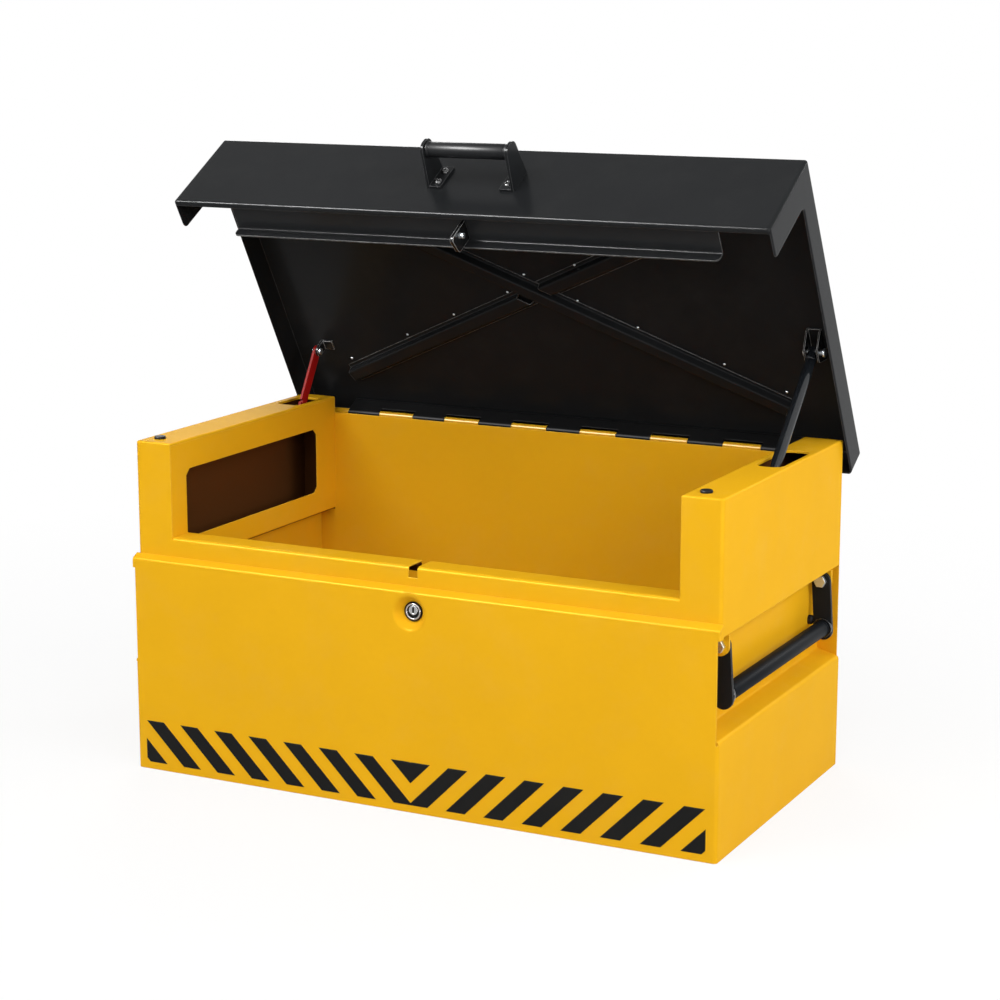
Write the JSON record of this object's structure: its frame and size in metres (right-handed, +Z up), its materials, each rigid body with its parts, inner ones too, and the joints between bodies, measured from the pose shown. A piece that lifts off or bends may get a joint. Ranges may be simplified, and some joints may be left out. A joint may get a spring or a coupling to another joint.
{
  "type": "tool_box",
  "caption": "Steel tool box with a strut-held black lid, safety stay, key lock and drop handles in side recesses, shown open",
  "frame": {"origin": "centre of the footprint on the floor, under the middle of the body", "axes": "+X right as seen from the front, +Y to the back, +Z up"},
  "size_m": [0.928, 0.5368, 0.9249],
  "materials": {
    "yellow_paint": "satin",
    "black_paint": "satin",
    "black_rubber": "matte",
    "bright_steel": "satin",
    "chrome_plate": "polished",
    "red_paint": "satin"
  },
  "bodies": {
    "root": {"floor_pan": "yellow_paint", "body_shell": "yellow_paint", "rear_panel": "yellow_paint", "right_pillar": "yellow_paint", "left_pillar": "yellow_paint", "front_strip": "yellow_paint", "lip_shelf": "yellow_paint", "right_pillar_lining": "yellow_paint", "left_pillar_lining": "yellow_paint", "body_hinge_leaf": "yellow_paint", "right_handle_tabs": "yellow_paint", "left_handle_tabs": "yellow_paint", "rubber_stops": "black_rubber", "right_handle_buffers": "black_rubber", "left_handle_buffers": "black_rubber", "hinge_pin": "bright_steel", "strut_stud": "bright_steel", "lock_nut": "bright_steel", "right_handle_bolts": "bright_steel", "left_handle_bolts": "bright_steel", "lock_barrel": "chrome_plate"},
    "lid": {"lid_panel": "black_paint", "lid_hinge_leaf": "black_paint", "lid_rail": "black_paint", "lid_catch": "black_paint", "striker_pin": "bright_steel", "long_brace": "black_paint", "short_braces": "black_paint", "right_lid_bracket": "black_paint", "left_lid_bracket": "black_paint", "lid_grip": "black_rubber", "lid_handle_screws": "black_paint", "strut_bracket": "black_paint", "strut_pin": "bright_steel", "stay_bracket": "black_paint", "stay_pin": "bright_steel"},
    "strut_tube": {"strut_cylinder": "black_paint"},
    "strut_plunger": {"strut_rod": "chrome_plate"},
    "stay": {"safety_stay": "red_paint"},
    "right_handle": {"right_handle_arms": "black_paint", "right_handle_grip": "black_rubber", "right_handle_rod": "black_paint"},
    "left_handle": {"left_handle_arms": "black_paint", "left_handle_grip": "black_rubber", "left_handle_rod": "black_paint"},
    "lock": {"lock_plug": "chrome_plate", "lock_cam": "bright_steel", "cam_nut": "bright_steel"}
  },
  "joints": [
    {"name": "lid_hinge", "type": "hinge", "parent": "root", "child": "lid", "pos_m": [0, 0.259, 0.462], "axis": [1, 0, 0], "range_deg": [0, 59.5], "stiffness_Nm_per_rad": 30, "springref_deg": -68.75},
    {"name": "strut_swing", "type": "hinge", "parent": "lid", "child": "strut_tube", "pos_m": [0.4285, 0.1795, 0.62454], "axis": [1, 0, 0], "range_deg": [-67.76, 0]},
    {"name": "strut_slide", "type": "slide", "parent": "strut_tube", "child": "strut_plunger", "axis": [0, 0.717, 0.6971], "range_m": [0, 0.1738]},
    {"name": "stay_swing", "type": "hinge", "parent": "lid", "child": "stay", "pos_m": [-0.414, 0.21336, 0.5651], "axis": [1, 0, 0], "range_deg": [0, 20]},
    {"name": "right_handle_drop", "type": "hinge", "parent": "root", "child": "right_handle", "pos_m": [0.444, 0, 0.288], "axis": [0, -1, 0], "range_deg": [0, 80]},
    {"name": "left_handle_drop", "type": "hinge", "parent": "root", "child": "left_handle", "pos_m": [-0.444, 0, 0.288], "axis": [0, 1, 0], "range_deg": [0, 80]},
    {"name": "lock_turn", "type": "hinge", "parent": "root", "child": "lock", "pos_m": [0, -0.225, 0.29], "axis": [0, -1, 0], "range_deg": [0, 90]}
  ],
  "couplings": [
    {"joint": "strut_swing", "follows": "lid_hinge", "ratio": -1.1355},
    {"joint": "strut_slide", "follows": "lid_hinge", "m_per_rad": 0.16692}
  ]
}
